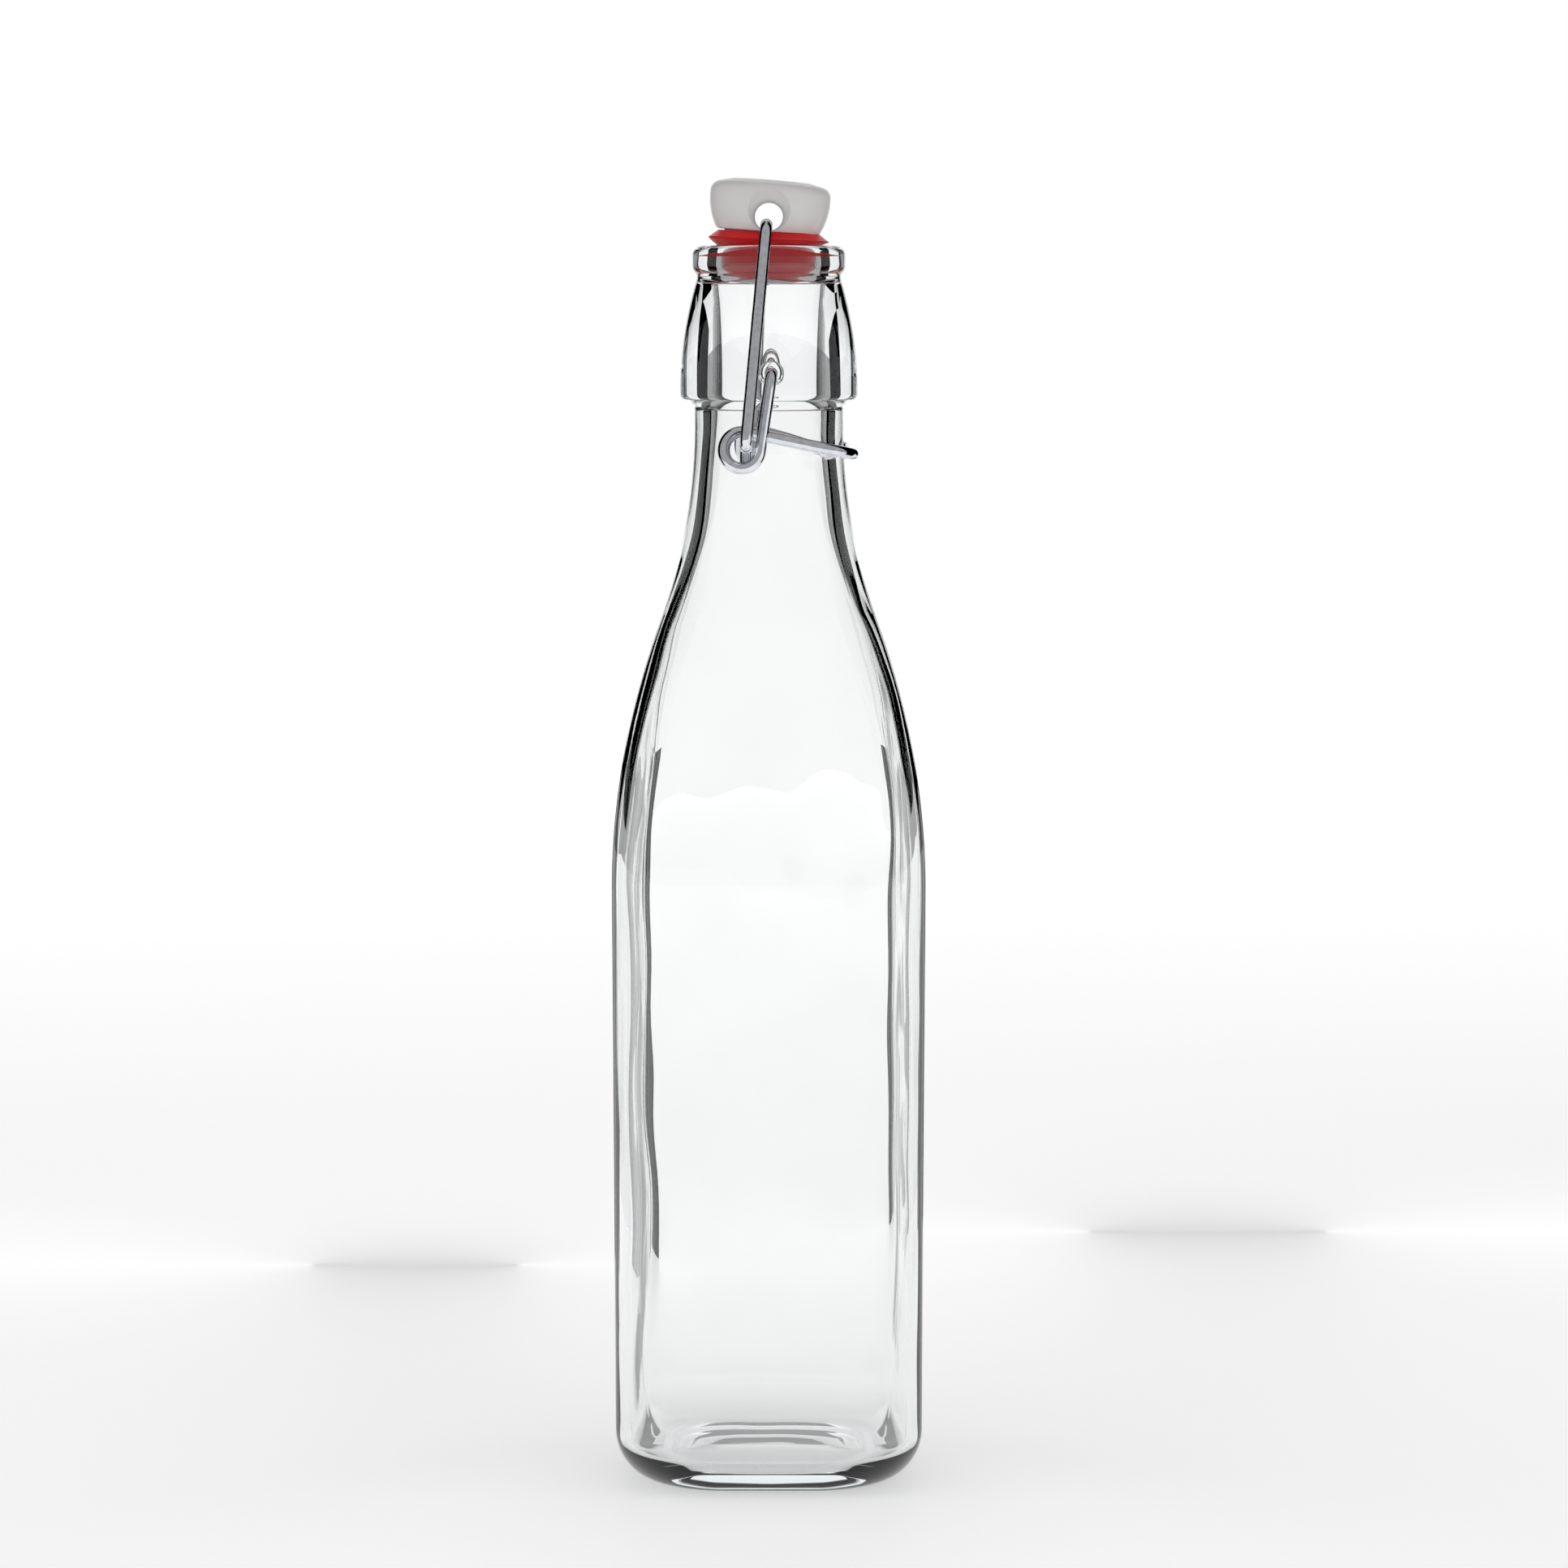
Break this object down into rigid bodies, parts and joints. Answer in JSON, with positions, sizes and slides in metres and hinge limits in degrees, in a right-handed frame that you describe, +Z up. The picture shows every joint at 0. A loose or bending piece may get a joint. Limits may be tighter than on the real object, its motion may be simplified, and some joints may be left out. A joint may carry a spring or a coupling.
{
  "type": "swing top bottle",
  "caption": "Square clear glass bottle with a wire bail and lever closure that clamps a white stopper and red gasket on its mouth.",
  "frame": {"origin": "centre of the base, on the surface that the bottle stands on", "axes": "+Z up along the bottle, +X towards the lever's front bar, Y along the three closure pivots"},
  "size_m": [0.0616, 0.0616, 0.2586],
  "materials": {
    "clear_glass": "clear fire-polished",
    "white_plastic": "satin moulded",
    "red_rubber": "smooth",
    "galvanised_steel": "dull zinc"
  },
  "bodies": {
    "bottle": {"glass_bottle": "clear_glass"},
    "lever": {"lever_wire": "galvanised_steel"},
    "bail": {"bail_wire": "galvanised_steel"},
    "stopper": {"stopper": "white_plastic", "gasket": "red_rubber"}
  },
  "joints": [
    {"name": "lever_pivot", "type": "hinge", "parent": "bottle", "child": "lever", "pos_m": [0.00056, 0, 0.2205], "axis": [0, -1, 0], "range_deg": [0, 85]},
    {"name": "bail_pivot", "type": "hinge", "parent": "lever", "child": "bail", "pos_m": [-0.00465, 0, 0.2061], "axis": [0, -1, 0], "range_deg": [-60, 0]},
    {"name": "stopper_swivel", "type": "hinge", "parent": "bail", "child": "stopper", "pos_m": [-0.00042, 0, 0.2491], "axis": [0, -1, 0], "range_deg": [-22, 0], "deforming": ["gasket"]}
  ],
  "couplings": [
    {"joint": "bail_pivot", "follows": "lever_pivot", "ratio": -0.7},
    {"joint": "stopper_swivel", "follows": "lever_pivot", "ratio": -0.25}
  ]
}
